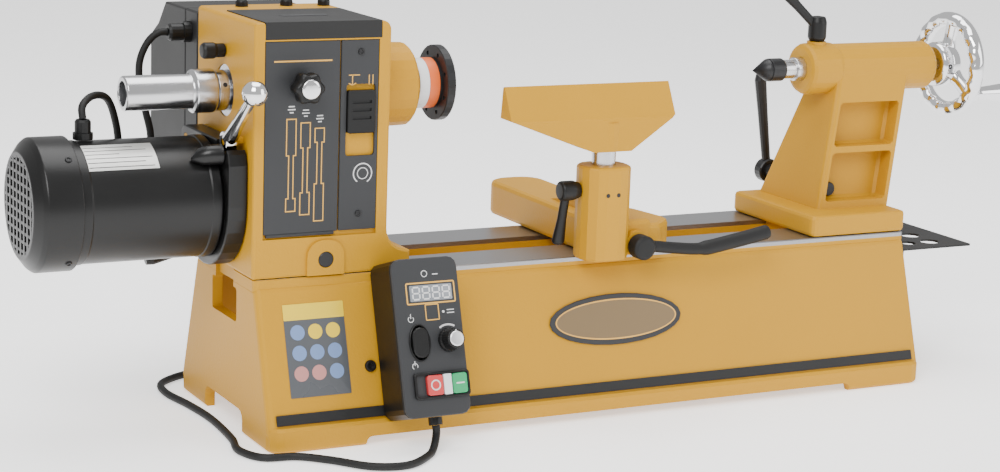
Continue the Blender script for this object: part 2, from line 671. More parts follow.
def door_knob():
    """A six-lobed knob on a short stem."""
    x, z = DOOR_KNOB_AT
    face = HEAD_FRONT - GAP
    outline = []
    for i in range(36):
        turn = math.tau * i / 36
        radius = (14.6 + 1.6 * math.cos(6 * turn)) * MM
        outline.append((x + radius * math.cos(turn), z + radius * math.sin(turn)))
    grip = bevelled(prism("door_knob", "y", outline, face - 25 * MM, face - 7 * MM), 1.5 * MM)
    collar = rod("door knob collar", "y", (x, z), 11 * MM, face - 8 * MM, face, 20)
    stem = rod("door knob stem", "y", (x, z), 4 * MM, face - 2 * MM, HEAD_FRONT + PANEL_DEPTH + 3 * MM, 16)
    return join(grip, collar, stem)


def lock_panel():
    left = DOOR_RIGHT + 1 * MM
    panel = box("lock_panel", (left, PANEL_RIGHT), (HEAD_FRONT, HEAD_FRONT + PANEL_DEPTH), (PANEL_BOTTOM + 1 * MM,
                PANEL_TOP))
    bevelled(panel, 0.6 * MM)
    side = 2 * GAP
    slot = slab(SLIDER_LEFT - side, SLIDER_LEFT + SLIDER_WIDTH + side,
                SLIDER_TOP - SLIDER_HEIGHT - SLIDER_TRAVEL - 3 * MM, SLIDER_TOP + 6 * MM, 3 * MM)
    return cut(panel, prism("lock slot", "y", slot, HEAD_FRONT - THROUGH, HEAD_FRONT + PANEL_DEPTH + THROUGH))


def spindle_lock_slider():
    right = SLIDER_LEFT + SLIDER_WIDTH
    outline = slab(SLIDER_LEFT, right, SLIDER_TOP - SLIDER_HEIGHT, SLIDER_TOP, 2.5 * MM)
    slider = prism("spindle_lock_slider", "y", outline, HEAD_FRONT - 4 * MM, HEAD_FRONT + PANEL_DEPTH)
    bevelled(slider, 0.8 * MM)
    for i in range(3):
        z = SLIDER_TOP - (13 + 8 * i) * MM
        cut(slider, box(f"slider groove {i}", (SLIDER_LEFT + 5 * MM, right - 5 * MM),
                        (HEAD_FRONT - 4 * MM - THROUGH, HEAD_FRONT - 2.6 * MM), (z, z + 3 * MM)))
    return slider


def index_plunger():
    """A spring plunger that drops into the pulley's index holes."""
    face = HEAD_LEFT - 1 * MM
    profile = [(0, HEAD_LEFT + 24 * MM), (4 * MM, HEAD_LEFT + 24 * MM), (4 * MM, face), (7 * MM, face),
               (7 * MM, face - 9 * MM), (8 * MM, face - 11 * MM), (8 * MM, face - 22 * MM),
               (6.5 * MM, face - 24 * MM), (0, face - 24 * MM)]
    return turned("index_plunger", "x", (0, PLUNGER_Z), profile, 18)


def clamp_plate(name, x, eye_z):
    """The plate under the ways, with its bolt and the eye that the cam shaft lifts."""
    half = 31 * MM
    plate = bevelled(box(name, (x - half, x + half), (-PLATE_HALF_Y, PLATE_HALF_Y), (PLATE_BOTTOM, PLATE_TOP)),
                     2 * MM)
    stud = rod(name + " stud", "z", (x, 0), BOLT_RADIUS, PLATE_BOTTOM - 6 * MM, eye_z - CAM_RADIUS - 2 * MM, 16)
    eye = box(name + " eye", (x - EYE_HALF, x + EYE_HALF), (-EYE_DEPTH, EYE_DEPTH),
              (eye_z - EYE_HALF, eye_z + EYE_HALF))
    join(plate, stud, eye)
    return cut(plate, rod(name + " eye bore", "y", (x, eye_z), CAM_RADIUS + GAP, -EYE_DEPTH - THROUGH,
                          EYE_DEPTH + THROUGH, 20))


LEVER_INNER = WAY_HALF_WIDTH + 9 * MM  # the rear levers run clear of the bed's wall


def rear_lever(name, x, z, front, tip):
    """A cam shaft through the casting, with a tapering lever on its rear end."""
    shaft = rod(name, "y", (x, z), CAM_RADIUS, front, LEVER_INNER + 8 * MM, 20, 1 * MM)
    hub = rod(name + " hub", "y", (x, z), 14 * MM, LEVER_INNER, LEVER_INNER + 14 * MM, 20, 1.5 * MM)
    middle = LEVER_INNER + 7 * MM
    span = Vector((tip[0] - x, 0, tip[1] - z))
    start = Vector((x, middle, z)) + span * 0.04
    end = Vector((x, middle, z)) + span
    arm = bar(name + " arm", [start, start.lerp(end, 0.6), start.lerp(end, 0.94), end],
              [5 * MM, 6 * MM, 7 * MM, 5 * MM], 12)
    return join(shaft, hub, arm)


# Electronics at the back of the headstock

BOX_SEAM = HEAD_BACK + 37 * MM
BOX_BACK = HEAD_BACK + 149 * MM
BOX_TOP = HEAD_TOP - 7 * MM
BOX_BOTTOM = WAY_HEIGHT + 40 * MM
ELECTRONICS_WALL = 3 * MM
MOTOR_LEAD_GLAND = (104 * MM, SPINDLE_Z + 46 * MM)
CORD_GLAND = (-300 * MM, 200 * MM)


def electronics_box():
    """The half of the drive's housing that is bolted to the headstock."""
    right = HEAD_RIGHT - 11 * MM
    start = HEAD_BACK + GAP
    housing = bevelled(box("electronics_box", (HEAD_LEFT, right), (start, BOX_SEAM - GAP), (BOX_BOTTOM, BOX_TOP)),
                       2 * MM)
    wall = ELECTRONICS_WALL
    cut(housing, box("electronics box inside", (HEAD_LEFT + wall, right - wall), (start + wall, BOX_SEAM + THROUGH),
                     (BOX_BOTTOM + wall, BOX_TOP - wall)))
    return housing


def cover_outline(inset):
    low, high, back = BOX_BOTTOM + inset, BOX_TOP - inset, BOX_BACK - inset
    return [(BOX_SEAM, low), (back, low), (back, high - 40 * MM), (back - 25 * MM, high - 25 * MM),
            (back - 48 * MM, high), (BOX_SEAM, high)]


def electronics_cover():
    right = HEAD_RIGHT - 11 * MM
    cover = bevelled(prism("electronics_cover", "x", cover_outline(0), HEAD_LEFT, right), 2 * MM, 2, 30)
    wall = ELECTRONICS_WALL
    hollow = cover_outline(wall)
    hollow[0] = (BOX_SEAM - THROUGH, hollow[0][1])
    hollow[-1] = (BOX_SEAM - THROUGH, hollow[-1][1])
    return cut(cover, prism("electronics cover inside", "x", hollow, HEAD_LEFT + wall, right - wall))


def mains_inlet():
    top = BOX_BOTTOM - GAP
    inlet = box("mains_inlet", (-372 * MM, -328 * MM), (144 * MM, 176 * MM), (top - 9 * MM, top))
    bevelled(inlet, 1.5 * MM)
    return cut(inlet, box("inlet socket", (-364 * MM, -336 * MM), (151 * MM, 169 * MM),
                          (top - 15 * MM, top - 2 * MM)))


def gland(name, axis, centre, start, end, radius, lead_radius):
    """A cable gland: a flange and a stepped body round the lead."""
    step = (end - start) / 3
    profile = [(lead_radius, start), (radius, start), (radius, start + step), (radius - 2 * MM, start + step),
               (radius - 2 * MM, end - step / 3), (radius - 3.5 * MM, end), (lead_radius, end)]
    return turned(name, axis, centre, profile, 16, bored=True)


# Spindle and drive

BEARING_RADIUS = 26 * MM
BEARING_WIDTH = 15 * MM
HUB_RADIUS = 26 * MM
FACEPLATE_RADIUS = 39.5 * MM
FACEPLATE_THICKNESS = 9.5 * MM
FACEPLATE_LEFT = BELL_END + 2 * MM
FACEPLATE_RIGHT = FACEPLATE_LEFT + 40 * MM
SPINDLE_BACK = HEAD_LEFT - 60 * MM
JOURNAL = 15 * MM
TAIL_JOURNAL = 12 * MM


def spindle():
    """The hollow spindle, with a threaded nose and a smaller rear end."""
    nose = FACEPLATE_RIGHT - 8 * MM
    profile = [(SPINDLE_BORE, SPINDLE_BACK), (TAIL_JOURNAL, SPINDLE_BACK), (TAIL_JOURNAL, HEAD_LEFT - 12 * MM),
               (JOURNAL, HEAD_LEFT - 12 * MM), (JOURNAL, BELL_END - 3 * MM), (19 * MM, BELL_END - 3 * MM),
               (19 * MM, FACEPLATE_LEFT - GAP), (NOSE_RADIUS, FACEPLATE_LEFT - GAP), (NOSE_RADIUS, nose),
               (9 * MM, nose), (SPINDLE_BORE, nose - 40 * MM)]
    return turned("spindle", "x", (0, SPINDLE_Z), profile, 24, bored=True)


def outboard_sleeve():
    """The tube on the spindle's rear end, with its clamping collar."""
    bore = TAIL_JOURNAL + GAP
    start, collar, end = HEAD_LEFT - 106 * MM, HEAD_LEFT - 36 * MM, HEAD_LEFT - 12 * MM - GAP
    profile = [(bore, start), (SPINDLE_RADIUS - 1 * MM, start), (SPINDLE_RADIUS, start + 1 * MM),
               (SPINDLE_RADIUS, collar), (21 * MM, collar), (22 * MM, collar + 1 * MM), (22 * MM, end - 1 * MM),
               (21 * MM, end), (bore, end)]
    return turned("outboard_sleeve", "x", (0, SPINDLE_Z), profile, 24, bored=True)


def bearing_nut():
    nut = tube("bearing_nut", "x", (0, SPINDLE_Z), JOURNAL + GAP, 20.5 * MM, HEAD_LEFT - 11.7 * MM,
               HEAD_LEFT - 0.7 * MM, 24)
    return cut(nut, rod("set screw hole", "y", (HEAD_LEFT - 6 * MM, SPINDLE_Z), 2.2 * MM, -30 * MM, -17.5 * MM, 12))


def bearing(name, start):
    return tube(name, "x", (0, SPINDLE_Z), JOURNAL + GAP, BEARING_RADIUS, start, start + BEARING_WIDTH, 24)


def stepped_pulley(name, centre, radii, bore):
    """Three belt steps with thin flanges between them."""
    half = PULLEY_STEP / 2
    rim = 2.2 * MM
    start = BELT_XS[0] - half
    profile = [(bore, start), (radii[0] + rim, start)]
    for x, radius in zip(BELT_XS, radii):
        wide = half - 1 * MM
        profile += [(radius + rim, x - half + 0.6 * MM), (radius, x - wide), (radius, x + wide),
                    (radius + rim, x + half - 0.6 * MM)]
    end = BELT_XS[-1] + half
    profile += [(radii[-1] + rim, end), (bore, end)]
    return turned(name, "x", centre, profile, 26, bored=True)


def spindle_pulley():
    pulley = stepped_pulley("spindle_pulley", (0, SPINDLE_Z), SPINDLE_PULLEY_RADII, JOURNAL + GAP)
    start = BELT_XS[0] - PULLEY_STEP / 2
    for i in range(8):
        y, z = 40 * MM * math.sin(i * math.tau / 8), 40 * MM * math.cos(i * math.tau / 8)
        cut(pulley, rod(f"index hole {i}", "x", (y, SPINDLE_Z + z), 4.6 * MM, start - THROUGH, start + 6 * MM, 10))
    return pulley


def belt_loop(offset):
    """The belt's run round both middle steps, at a distance outside them."""
    top = SPINDLE_PULLEY_RADII[1] + offset
    low = MOTOR_PULLEY_RADII[1] + offset
    lean = math.degrees(math.asin((top - low) / (SPINDLE_Z - MOTOR_Z)))
    over = arc((0, SPINDLE_Z), top, -lean, 180 + lean, 18)
    under = arc((0, MOTOR_Z), low, 180 + lean, 360 - lean, 16)
    return over + under


def drive_belt():
    """The ribbed belt, on the middle steps."""
    half = BELT_WIDTH / 2
    rings = []
    for offset, side in ((GAP, -half), (GAP + BELT_THICKNESS, -half), (GAP + BELT_THICKNESS, half), (GAP, half)):
        rings.append([in_space("x", y, z, BELT_XS[1] + side) for y, z in belt_loop(offset)])
    bm = bmesh.new()
    rows = [[bm.verts.new(point) for point in ring] for ring in rings]
    for low, high in zip(rows, rows[1:] + rows[:1]):
        for i in range(len(low)):
            j = (i + 1) % len(low)
            bm.faces.new((low[i], low[j], high[j], high[i]))
    return finish("drive_belt", bm)


def faceplate():
    """A small screw-on faceplate with its hub."""
    bore = NOSE_RADIUS + GAP
    disc = FACEPLATE_RIGHT - FACEPLATE_THICKNESS
    profile = [(bore, FACEPLATE_LEFT), (HUB_RADIUS - 1 * MM, FACEPLATE_LEFT),
               (HUB_RADIUS, FACEPLATE_LEFT + 1 * MM),
               (HUB_RADIUS, disc), (FACEPLATE_RADIUS - 0.8 * MM, disc), (FACEPLATE_RADIUS, disc + 0.8 * MM),
               (FACEPLATE_RADIUS, FACEPLATE_RIGHT - 0.8 * MM), (FACEPLATE_RADIUS - 0.8 * MM, FACEPLATE_RIGHT),
               (bore, FACEPLATE_RIGHT)]
    plate = turned("faceplate", "x", (0, SPINDLE_Z), profile, 32, bored=True)
    for i in range(8):
        turn = (i + 0.5) * math.tau / 8
        y, z = 32 * MM * math.sin(turn), 32 * MM * math.cos(turn)
        cut(plate, rod(f"faceplate hole {i}", "x", (y, SPINDLE_Z + z), 2.6 * MM, disc - THROUGH,
                       FACEPLATE_RIGHT + THROUGH, 8))
    return plate


# Motor

MOUNT_RIGHT = HEAD_LEFT - 1 * MM
MOUNT_LEFT = MOUNT_RIGHT - MOUNT_THICKNESS
MOTOR_RIGHT = MOUNT_LEFT - GAP
MOTOR_LEFT = MOTOR_RIGHT - MOTOR_LENGTH
MOTOR_GLAND_X = MOTOR_LEFT + 19 * MM
MOTOR_GLAND_Y = 5 * MM
FAN_END = MOTOR_LEFT - FAN_COVER_LENGTH
SHAFT_END = BELT_XS[-1] + 11 * MM


def motor_mount():
    """The plate that hangs the motor from a pivot on the headstock's side."""
    radius = 70 * MM
    outline = arc((0, MOTOR_Z), radius, 180, 360, 16)
    outline += rounded([(radius, MOTOR_Z + 4 * MM, 0), (radius, MOTOR_Z + 63 * MM, 14 * MM),
                        (-radius, MOTOR_Z + 63 * MM, 22 * MM), (-radius, MOTOR_Z + 4 * MM, 0)])
    mount = bevelled(prism("motor_mount", "x", outline, MOUNT_LEFT, MOUNT_RIGHT), 1.5 * MM, 2, 50)
    through = (MOUNT_LEFT - THROUGH, MOUNT_RIGHT + THROUGH)
    cut(mount, rod("mount shaft hole", "x", (0, MOTOR_Z), 22 * MM, *through, 20))
    cut(mount, rod("mount pivot hole", "x", MOUNT_PIVOT, 7.3 * MM, *through, 16))
    cut(mount, rod("mount lever notch", "x", TENSION_AT, 15 * MM, *through, 20))
    return mount


def motor_body():
    """The motor's shell, with a rim at each end."""
    bore = MOTOR_SHAFT_RADIUS + GAP
    rim = MOTOR_RADIUS
    shell = MOTOR_RADIUS - 0.8 * MM
    start, end = MOTOR_LEFT, MOTOR_RIGHT
    profile = [(bore, start), (rim, start), (rim, start + 9 * MM), (shell, start + 10 * MM),
               (shell, end - 12 * MM), (rim, end - 11 * MM), (rim, end - 2 * MM), (rim - 2 * MM, end), (bore, end)]
    return turned("motor_body", "x", (0, MOTOR_Z), profile, 32, bored=True)


def motor_fan_cover():
    """The cup over the fan, slotted for air."""
    outer, wall = FAN_COVER_RADIUS, 2.5 * MM
    end, start = FAN_END, MOTOR_LEFT - GAP
    profile = [(0, end), (52.8 * MM, end), (outer - 3 * MM, end + 8 * MM), (outer, end + 11 * MM), (outer, start),
               (outer - wall, start), (outer - wall, end + 12 * MM), (outer - wall - 3 * MM, end + 10 * MM),
               (51.6 * MM, end + wall), (0, end + wall)]
    cover = turned("motor_fan_cover", "x", (0, MOTOR_Z), profile, 32)
    for i in range(-3, 4):
        y = i * 12 * MM
        half = math.sqrt((47 * MM) ** 2 - y ** 2) * 0.9
        slot = slab(y - 3.6 * MM, y + 3.6 * MM, MOTOR_Z - half, MOTOR_Z + half)
        cut(cover, prism(f"air slot {i}", "x", slot, end - THROUGH, end + wall + 3 * MM))
    return cover


def motor_shaft():
    left = FAN_END + 10 * MM
    return rod("motor_shaft", "x", (0, MOTOR_Z), MOTOR_SHAFT_RADIUS, left, SHAFT_END, 20, 1 * MM)


def motor_pulley():
    return stepped_pulley("motor_pulley", (0, MOTOR_Z), MOTOR_PULLEY_RADII, MOTOR_SHAFT_RADIUS + GAP)


def cooling_fan():
    """A hub with eight flat blades."""
    bore = MOTOR_SHAFT_RADIUS + GAP
    start = FAN_END + 13 * MM
    end = start + 20 * MM
    fan = tube("cooling_fan", "x", (0, MOTOR_Z), bore, 17 * MM, start, end, 20)
    for i in range(8):
        turn = math.tau * i / 8
        across = Vector((math.cos(turn), math.sin(turn)))
        side = Vector((-across.y, across.x)) * 1.2 * MM
        inner, outer = across * 14 * MM, across * 52 * MM
        corners = [inner - side, outer - side, outer + side, inner + side]
        outline = [(c.x, c.y + MOTOR_Z) for c in corners]
        join(fan, prism(f"fan blade {i}", "x", outline, start + 1 * MM, end - 1 * MM))
    return fan


def tension_lever():
    """The belt-tension lever, with a ball on the end of its rod."""
    y, z = TENSION_AT
    x = HEAD_LEFT - 14 * MM
    hub = tube("tension_lever", "x", TENSION_AT, TENSION_PIN + GAP, 10 * MM, x - 6 * MM, x + 6 * MM, 20)
    tip = Vector((x, y - 70 * MM, z + 57 * MM))
    start = Vector((x, y, z)).lerp(tip, 0.08)
    arm = bar("tension rod", [start, start.lerp(tip, 0.7), tip], [5 * MM, 4.6 * MM, 4.2 * MM], 12)
    radius = 12.5 * MM
    profile = [(0, tip.z + radius)]
    for turn in range(20, 180, 20):
        profile.append((radius * math.sin(math.radians(turn)), tip.z + radius * math.cos(math.radians(turn))))
    profile.append((0, tip.z - radius))
    return join(hub, arm, turned("tension ball", "z", (tip.x, tip.y), profile, 14))


# Banjo and tool rest

CAM_Z = WAY_HEIGHT + 13 * MM
BANJO_LEFT, BANJO_RIGHT = -17 * MM, 49 * MM
BANJO_REAR = 168 * MM
BANJO_TOP = WAY_HEIGHT + 39 * MM
COLUMN_FRONT, COLUMN_BACK = -120 * MM, -72 * MM
COLUMN_LEFT, COLUMN_RIGHT = -38 * MM, 17 * MM
COLUMN_TOP = WAY_HEIGHT + 100 * MM
BLOCK_RADIUS = 13 * MM
ARM_SLOT = (-58 * MM, 118 * MM)
LOCK_Z = COLUMN_TOP - 26 * MM
SOCKET_LOW = COLUMN_TOP + 16 * MM


def banjo_casting():
    """The banjo: an arm across the ways, a column for the tool post and a lobe for the cam shaft's bearing."""
    arm_top = BANJO_TOP
    plan = rounded([(BANJO_LEFT, -100 * MM, 0), (BANJO_RIGHT, -100 * MM, 0), (BANJO_RIGHT, BANJO_REAR, 26 * MM),
                    (BANJO_LEFT, BANJO_REAR, 26 * MM)], 5)
    arm = bevelled(prism("banjo_casting", "z", plan, SEAT, arm_top), 5 * MM, 2, 50)
    column_plan = slab(COLUMN_LEFT, COLUMN_RIGHT, COLUMN_FRONT, COLUMN_BACK, 20 * MM)
    column = bevelled(prism("banjo column", "z", column_plan, SEAT, COLUMN_TOP), 3 * MM, 2, 50)
    lobe_plan = rounded([(0, -100 * MM, 10 * MM), (60 * MM, -98 * MM, 18 * MM), (88 * MM, -72 * MM, 22 * MM),
                         (78 * MM, -14 * MM, 20 * MM), (40 * MM, 30 * MM, 12 * MM), (0, 30 * MM, 0)], 4)
    lobe = bevelled(prism("banjo lobe", "z", lobe_plan, SEAT, arm_top - 6 * MM), 5 * MM, 2, 50)
    bearing_boss = rod("banjo bearing boss", "y", (BANJO_X, CAM_Z + 2 * MM), 14 * MM, -108 * MM, -80 * MM, 20)
    rib = loft("banjo rib", [slab_ring(BANJO_LEFT + 14 * MM, BANJO_RIGHT - 18 * MM, COLUMN_BACK - 10 * MM,
                                       60 * MM, arm_top - 6 * MM),
                             slab_ring(BANJO_LEFT + 18 * MM, BANJO_RIGHT - 24 * MM, COLUMN_BACK - 10 * MM,
                                       -40 * MM, arm_top + 16 * MM)])
    join(arm, column, lobe, bearing_boss, rib)
    side = BLOCK_RADIUS + 2 * GAP
    room = prism("banjo slot", "z", slab(BANJO_X - side, BANJO_X + side, ARM_SLOT[0], ARM_SLOT[1], 8 * MM),
                 SEAT - THROUGH, CAM_Z + CAM_RADIUS + 7 * MM)
    bore = rod("banjo cam bore", "y", (BANJO_X, CAM_Z), CAM_RADIUS + GAP, -140 * MM, 146 * MM, 20)
    post_bore = rod("post bore", "z", (POST_X, POST_Y), POST_RADIUS + GAP, SEAT + 12 * MM, COLUMN_TOP + THROUGH, 24)
    lock_bore = rod("post lock bore", "x", (POST_Y, LOCK_Z), 5 * MM + GAP, COLUMN_LEFT - THROUGH, POST_X, 16)
    screw_bore = rod("column screw bore", "x", (POST_Y, LOCK_Z - 9 * MM), 4 * MM, COLUMN_RIGHT - 5 * MM,
                     COLUMN_RIGHT + THROUGH, 12)
    return cut(arm, room, bore, post_bore, lock_bore, screw_bore)


def slab_ring(x0, x1, y0, y1, z):
    return [(x0, y0, z), (x1, y0, z), (x1, y1, z), (x0, y1, z)]


def banjo_clamp_plate():
    """The plate under the ways that carries the banjo's swivel pin."""
    half = 30 * MM
    plate = box("banjo_clamp_plate", (BANJO_X - half, BANJO_X + half), (-PLATE_HALF_Y, PLATE_HALF_Y),
                (PLATE_BOTTOM, PLATE_TOP))
    bevelled(plate, 2 * MM)
    pin = rod("banjo swivel pin", "z", (BANJO_X, 0), BOLT_RADIUS, PLATE_BOTTOM - 8 * MM,
              CAM_Z - CAM_RADIUS - 6 * MM, 16)
    nut = rod("banjo plate nut", "z", (BANJO_X, 0), 10 * MM, PLATE_BOTTOM - 8 * MM, PLATE_BOTTOM + 1 * MM, 6)
    return join(plate, pin, nut)


def banjo_cam_block():
    """The block that swivels on the pin and slides along the cam shaft."""
    low, high = PLATE_TOP + 2 * GAP, CAM_Z + CAM_RADIUS + 5 * MM
    block = rod("banjo_cam_block", "z", (BANJO_X, 0), BLOCK_RADIUS, low, high, 20, 1 * MM)
    pin_bore = rod("block pin bore", "z", (BANJO_X, 0), BOLT_RADIUS + GAP, low - THROUGH,
                   CAM_Z - CAM_RADIUS - 5 * MM, 16)
    shaft_bore = rod("block shaft bore", "y", (BANJO_X, CAM_Z), CAM_RADIUS + GAP, -20 * MM, 20 * MM, 20)
    return closed_by_manifold(cut(block, pin_bore, shaft_bore))


def banjo_cam_lever():
    """The long cam shaft in the arm, with its hub and bent handle in front."""
    y = -115 * MM
    shaft = rod("banjo_cam_lever", "y", (BANJO_X, CAM_Z), CAM_RADIUS, y, 142 * MM, 20, 1 * MM)
    hub = rod("banjo lever hub", "y", (BANJO_X, CAM_Z), 13 * MM, -126 * MM, -108 * MM - GAP, 20, 2 * MM)
    start = Vector((BANJO_X + 8 * MM, y, CAM_Z + 1 * MM))
    spots = [start, Vector((70 * MM, y - 3 * MM, 174 * MM)), Vector((98 * MM, y - 5 * MM, 172 * MM)),
             Vector((140 * MM, y - 5 * MM, 178 * MM)), Vector((186 * MM, y - 5 * MM, 186 * MM)),
             Vector((192 * MM, y - 5 * MM, 187 * MM))]
    arm = bar("banjo lever arm", spots, [6 * MM, 6 * MM, 7.5 * MM, 7.5 * MM, 7 * MM, 5 * MM], 12)
    return join(shaft, hub, arm)


def tool_rest_post():
    return rod("tool_rest_post", "z", (POST_X, POST_Y), POST_RADIUS, SEAT + 26 * MM, SOCKET_LOW + 22 * MM, 24, 1 * MM)


def tool_rest():
    """A straight rest with a sloping front, narrowing down to its socket."""
    middle = -32 * MM
    half = REST_LENGTH / 2
    y = POST_Y
    top = REST_TOP + 4 * MM
    section = [(y + 2 * MM, top), (y + 5 * MM, top - 1 * MM), (y + 9 * MM, top - 34 * MM), (y + 17 * MM, SOCKET_LOW),
               (y - 19 * MM, SOCKET_LOW), (y - 18 * MM, top - 36 * MM), (y - 16 * MM, top - 34 * MM)]
    body = prism("tool_rest", "x", section, middle - half, middle + half)
    outline = [(middle - half + 1 * MM, top - 33 * MM), (POST_X - 22 * MM, SOCKET_LOW), (POST_X + 22 * MM, SOCKET_LOW),
               (middle + half - 1 * MM, top - 33 * MM), (middle + half - 1 * MM, top + 3 * MM),
               (middle - half + 1 * MM, top + 3 * MM)]
    keep(body, prism("tool rest outline", "y", outline, y - 30 * MM, y + 30 * MM))
    join(body, rod("tool rest socket", "z", (POST_X, y), 19.5 * MM, SOCKET_LOW, SOCKET_LOW + 30 * MM, 24))
    return cut(body, rod("tool rest bore", "z", (POST_X, y), POST_RADIUS + GAP, SOCKET_LOW - THROUGH,
                         SOCKET_LOW + 23 * MM, 24))


def post_lock_lever():
    """The lever that clamps the tool post."""
    hub_left, hub_right = COLUMN_LEFT - 24 * MM, COLUMN_LEFT - GAP
    tip = POST_X - POST_RADIUS - GAP
    profile = [(0, hub_left), (9 * MM, hub_left), (10.5 * MM, hub_left + 2 * MM), (10.5 * MM, hub_right - 6 * MM),
               (8 * MM, hub_right), (5 * MM, hub_right), (5 * MM, tip), (0, tip)]
    hub = turned("post_lock_lever", "x", (POST_Y, LOCK_Z), profile, 20)
    x = hub_left + 8 * MM
    start = Vector((x, POST_Y, LOCK_Z - 4 * MM))
    end = Vector((x, POST_Y + 14 * MM, LOCK_Z - 60 * MM))
    arm = bar("post lock arm", [start, start.lerp(end, 0.55), start.lerp(end, 0.94), end],
              [5 * MM, 5.5 * MM, 7 * MM, 5 * MM], 14)
    return join(hub, arm)


# Tailstock

TAIL_CLAMP = (TAIL_LEFT + 56.4 * MM, WAY_HEIGHT + 43 * MM)
BARREL_LEFT = TAIL_LEFT + 27.4 * MM
BARREL_END = BARREL_LEFT + BARREL_LENGTH
CAP_THICKNESS = 14 * MM
SCREW_RADIUS = 7 * MM
QUILL_FRONT = BARREL_LEFT - 11 * MM
QUILL_LOCK_X = BARREL_LEFT + 20 * MM
QUILL_TRAVEL = 60 * MM


def column_ring(z, inset, front, back):
    """The tailstock column's outline at a height, leaning to the right as it rises."""
    share = (z - (WAY_HEIGHT + 20 * MM)) / (SPINDLE_Z - WAY_HEIGHT - 20 * MM)
    left = TAIL_LEFT + (29.4 + 35 * share) * MM + inset
    right = TAIL_LEFT + (127.4 + 34 * share) * MM - inset
    return slab_ring(left, right, front(share), back(share), z)


def column_front(share):
    return (-48 + 22 * share) * MM


def column_back(share):
    return (76 - 50 * share) * MM


def tailstock_casting():
    """The tailstock: a foot on the ways, a leaning ribbed column and the barrel for the quill."""
    left, right = TAIL_LEFT, TAIL_LEFT + TAIL_LENGTH
    foot = prism("tailstock_casting", "z", slab(left, right, -WAY_HALF_WIDTH, WAY_HALF_WIDTH, 7 * MM), SEAT,
                 WAY_HEIGHT + TAIL_BASE)
    bevelled(foot, 4 * MM, 2, 50)
    low, high = WAY_HEIGHT + 14 * MM, SPINDLE_Z
    column = loft("tailstock column", [column_ring(low, 0, column_front, column_back),
                                       column_ring(high, 0, column_front, column_back)])
    bevelled(column, 5 * MM, 3)
    keel = box("tailstock keel", (left + 10 * MM, right - 8 * MM), (-KEEL_HALF, KEEL_HALF),
               (SEAT - KEEL_DEPTH, SEAT + 4 * MM))
    axis = (0, SPINDLE_Z)
    r = BARREL_RADIUS
    barrel = turned("tailstock barrel", "x", axis,
                    [(0, BARREL_LEFT), (r - 6 * MM, BARREL_LEFT), (r - 2 * MM, BARREL_LEFT + 1.5 * MM),
                     (r, BARREL_LEFT + 5 * MM), (r, BARREL_LEFT + 38 * MM), (r - 1.5 * MM, BARREL_LEFT + 42 * MM),
                     (r - 1.5 * MM, BARREL_END - 6 * MM), (r - 4 * MM, BARREL_END - 2 * MM),
                     (r - 9 * MM, BARREL_END), (0, BARREL_END)], 26)
    lock_boss = rod("quill lock boss", "z", (QUILL_LOCK_X, 0), 11 * MM, SPINDLE_Z + 16 * MM, SPINDLE_Z + 31 * MM, 18)
    join(foot, column, keel, barrel, lock_boss)
    inset = 8 * MM

    def pocket_back(share):
        return column_front(share) + 21 * MM

    def pocket_front(share):
        return column_front(share) - 20 * MM

    ledge = WAY_HEIGHT + 86 * MM
    for i, (start, end) in enumerate([(WAY_HEIGHT + 32 * MM, ledge), (ledge + 7 * MM, SPINDLE_Z - 36 * MM)]):
        cut(foot, bevelled(loft(f"column pocket {i}", [column_ring(start, inset, pocket_front, pocket_back),
                                                       column_ring(end, inset, pocket_front, pocket_back)]), 3 * MM))
    quill_bore = rod("quill bore", "x", axis, QUILL_RADIUS + GAP, BARREL_LEFT - THROUGH, BARREL_END - CAP_THICKNESS, 24)
    screw_bore = rod("screw bore", "x", axis, SCREW_RADIUS + GAP, BARREL_END - CAP_THICKNESS - 1 * MM,
                     BARREL_END + THROUGH, 18)
    cam_bore = rod("tail cam bore", "y", TAIL_CLAMP, CAM_RADIUS + GAP, -70 * MM, 90 * MM, 20)
    lock_bore = rod("quill lock bore", "z", (QUILL_LOCK_X, 0), 5 * MM + GAP, SPINDLE_Z, SPINDLE_Z + 40 * MM, 16)
    pocket = clamp_pocket("tail clamp pocket", TAIL_CLAMP[0], TAIL_CLAMP[1] + EYE_HALF + 1 * MM)
    return closed_by_manifold(cut(foot, quill_bore, screw_bore, cam_bore, lock_bore, pocket))


def quill():
    """The sliding quill, with a tapered socket in front and a threaded bore behind."""
    start, end = QUILL_FRONT, QUILL_FRONT + QUILL_LENGTH
    socket, thread = start + 60 * MM, start + 62 * MM
    profile = [(9.4 * MM, start), (QUILL_RADIUS - 1 * MM, start), (QUILL_RADIUS, start + 1 * MM), (QUILL_RADIUS, end),
               (SCREW_RADIUS + GAP, end), (SCREW_RADIUS + GAP, thread), (5 * MM, socket), (8 * MM, socket)]
    return turned("quill", "x", (0, SPINDLE_Z), profile, 24, bored=True)


def quill_screw():
    """The feed screw, with a collar against the inside of the barrel's cap."""
    cap = BARREL_END - CAP_THICKNESS
    hub = BARREL_END + 7 * MM
    start = QUILL_FRONT + QUILL_TRAVEL + 20 * MM
    profile = [(0, start), (SCREW_RADIUS, start), (SCREW_RADIUS, cap - 6 * MM), (11 * MM, cap - 6 * MM),
               (11 * MM, cap - GAP), (SCREW_RADIUS, cap - GAP), (SCREW_RADIUS, hub), (5 * MM, hub),
               (5 * MM, hub + 24 * MM), (0, hub + 24 * MM)]
    return turned("quill_screw", "x", (0, SPINDLE_Z), profile, 20)


WHEEL_X = BARREL_END + 34 * MM
HANDLE_AT = (-42 * MM, SPINDLE_Z - 30 * MM)


